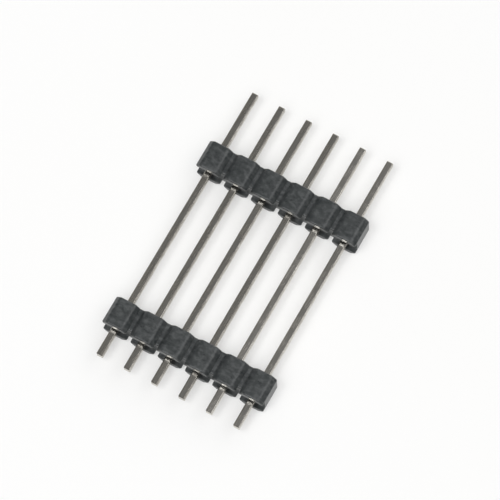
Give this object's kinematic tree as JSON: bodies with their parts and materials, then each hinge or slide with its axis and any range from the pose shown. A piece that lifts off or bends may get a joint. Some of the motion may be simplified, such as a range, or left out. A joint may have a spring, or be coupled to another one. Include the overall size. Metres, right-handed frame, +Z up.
{
  "type": "pin header strip",
  "caption": "Straight single-row pin header with long square pins pressed through two spaced black moulded insulators.",
  "frame": {"origin": "midway along the row and along the pins, on the plane that the housings lie on", "axes": "+X along the row, +Y along the pins towards the long posts, +Z up, the part lying on its side"},
  "size_m": [0.0148, 0.026, 0.0025],
  "materials": {
    "black_plastic": "satin injection-moulded black polyester",
    "tin_plate": "brass wire with a dull tin plating"
  },
  "bodies": {
    "root": {"board_housing": "black_plastic", "stack_housing": "black_plastic", "pin_1": "tin_plate", "pin_2": "tin_plate", "pin_3": "tin_plate", "pin_4": "tin_plate", "pin_5": "tin_plate", "pin_6": "tin_plate"}
  },
  "joints": []
}
